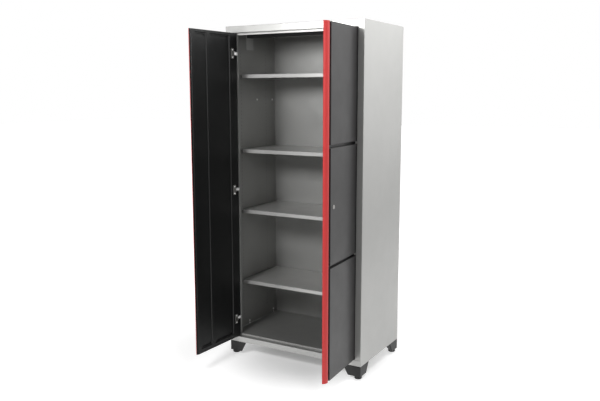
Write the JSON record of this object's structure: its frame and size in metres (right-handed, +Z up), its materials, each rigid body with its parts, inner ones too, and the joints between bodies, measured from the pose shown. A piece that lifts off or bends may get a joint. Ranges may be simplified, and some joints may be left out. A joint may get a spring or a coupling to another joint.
{
  "type": "tool cabinet",
  "caption": "Tall steel tool cabinet with hinged doors standing open, adjustable shelves, full-height red handle profiles, a cam lock and levelling feet.",
  "frame": {"origin": "middle of the base of the bounding box, doors open as stored, on the floor under the feet", "axes": "+Z up, +Y towards the back of the cabinet, +X to the right as seen from the front"},
  "size_m": [0.9, 0.935, 2.004],
  "materials": {
    "silver_paint": "satin",
    "shelf_paint": "satin",
    "graphite_paint": "satin",
    "black_paint": "satin",
    "red_profile": "satin",
    "hinge_nickel": "polished",
    "zinc": "satin",
    "foot_plastic": "matte"
  },
  "bodies": {
    "carcass": {"left_side_panel": "silver_paint", "right_side_panel": "silver_paint", "back_panel": "silver_paint", "top_panel": "silver_paint", "floor_panel": "silver_paint", "top_crossmember": "silver_paint", "shelf_1": "shelf_paint", "shelf_2": "shelf_paint", "shelf_3": "shelf_paint", "shelf_4": "shelf_paint", "shelf_1_clip_left_front": "zinc", "shelf_1_clip_left_rear": "zinc", "shelf_1_clip_right_front": "zinc", "shelf_1_clip_right_rear": "zinc", "shelf_2_clip_left_front": "zinc", "shelf_2_clip_left_rear": "zinc", "shelf_2_clip_right_front": "zinc", "shelf_2_clip_right_rear": "zinc", "shelf_3_clip_left_front": "zinc", "shelf_3_clip_left_rear": "zinc", "shelf_3_clip_right_front": "zinc", "shelf_3_clip_right_rear": "zinc", "shelf_4_clip_left_front": "zinc", "shelf_4_clip_left_rear": "zinc", "shelf_4_clip_right_front": "zinc", "shelf_4_clip_right_rear": "zinc", "foot_block_front_left": "foot_plastic", "foot_block_front_right": "foot_plastic", "foot_block_rear_left": "foot_plastic", "foot_block_rear_right": "foot_plastic", "left_hinge_arm_top": "hinge_nickel", "left_hinge_arm_middle": "hinge_nickel", "left_hinge_arm_bottom": "hinge_nickel", "right_hinge_arm_top": "hinge_nickel", "right_hinge_arm_middle": "hinge_nickel", "right_hinge_arm_bottom": "hinge_nickel"},
    "left_door": {"left_door_liner": "black_paint", "left_door_skin": "graphite_paint", "left_door_panel_top": "graphite_paint", "left_door_panel_middle": "graphite_paint", "left_door_panel_bottom": "graphite_paint", "left_door_handle": "red_profile", "left_hinge_plate_top": "hinge_nickel", "left_hinge_plate_middle": "hinge_nickel", "left_hinge_plate_bottom": "hinge_nickel"},
    "right_door": {"right_door_liner": "black_paint", "right_door_skin": "graphite_paint", "right_door_panel_top": "graphite_paint", "right_door_panel_middle": "graphite_paint", "right_door_panel_bottom": "graphite_paint", "right_door_handle": "red_profile", "right_hinge_plate_top": "hinge_nickel", "right_hinge_plate_middle": "hinge_nickel", "right_hinge_plate_bottom": "hinge_nickel", "lock_housing": "hinge_nickel"},
    "lock": {"lock_cylinder": "hinge_nickel"},
    "levelling_foot_front_left": {"levelling_foot_front_left": "foot_plastic"},
    "levelling_foot_front_right": {"levelling_foot_front_right": "foot_plastic"},
    "levelling_foot_rear_left": {"levelling_foot_rear_left": "foot_plastic"},
    "levelling_foot_rear_right": {"levelling_foot_rear_right": "foot_plastic"}
  },
  "joints": [
    {"name": "left_door_hinge", "type": "hinge", "parent": "carcass", "child": "left_door", "pos_m": [-0.401, -0.0685, 1.04], "axis": [0, 0, -1], "range_deg": [-93, 5]},
    {"name": "right_door_hinge", "type": "hinge", "parent": "carcass", "child": "right_door", "pos_m": [0.401, -0.0685, 1.04], "axis": [0, 0, 1], "range_deg": [-93, 5]},
    {"name": "lock_turn", "type": "hinge", "parent": "right_door", "child": "lock", "pos_m": [0.41707, -0.37508, 1.04], "axis": [-0.9986, -0.0523, 0], "range_deg": [0, 90]},
    {"name": "levelling_foot_front_left_turn", "type": "hinge", "parent": "carcass", "child": "levelling_foot_front_left", "pos_m": [-0.424, -0.0515, 0], "axis": [0, 0, 1], "continuous": true},
    {"name": "levelling_foot_front_right_turn", "type": "hinge", "parent": "carcass", "child": "levelling_foot_front_right", "pos_m": [0.424, -0.0515, 0], "axis": [0, 0, 1], "continuous": true},
    {"name": "levelling_foot_rear_left_turn", "type": "hinge", "parent": "carcass", "child": "levelling_foot_rear_left", "pos_m": [-0.424, 0.4415, 0], "axis": [0, 0, 1], "continuous": true},
    {"name": "levelling_foot_rear_right_turn", "type": "hinge", "parent": "carcass", "child": "levelling_foot_rear_right", "pos_m": [0.424, 0.4415, 0], "axis": [0, 0, 1], "continuous": true}
  ]
}
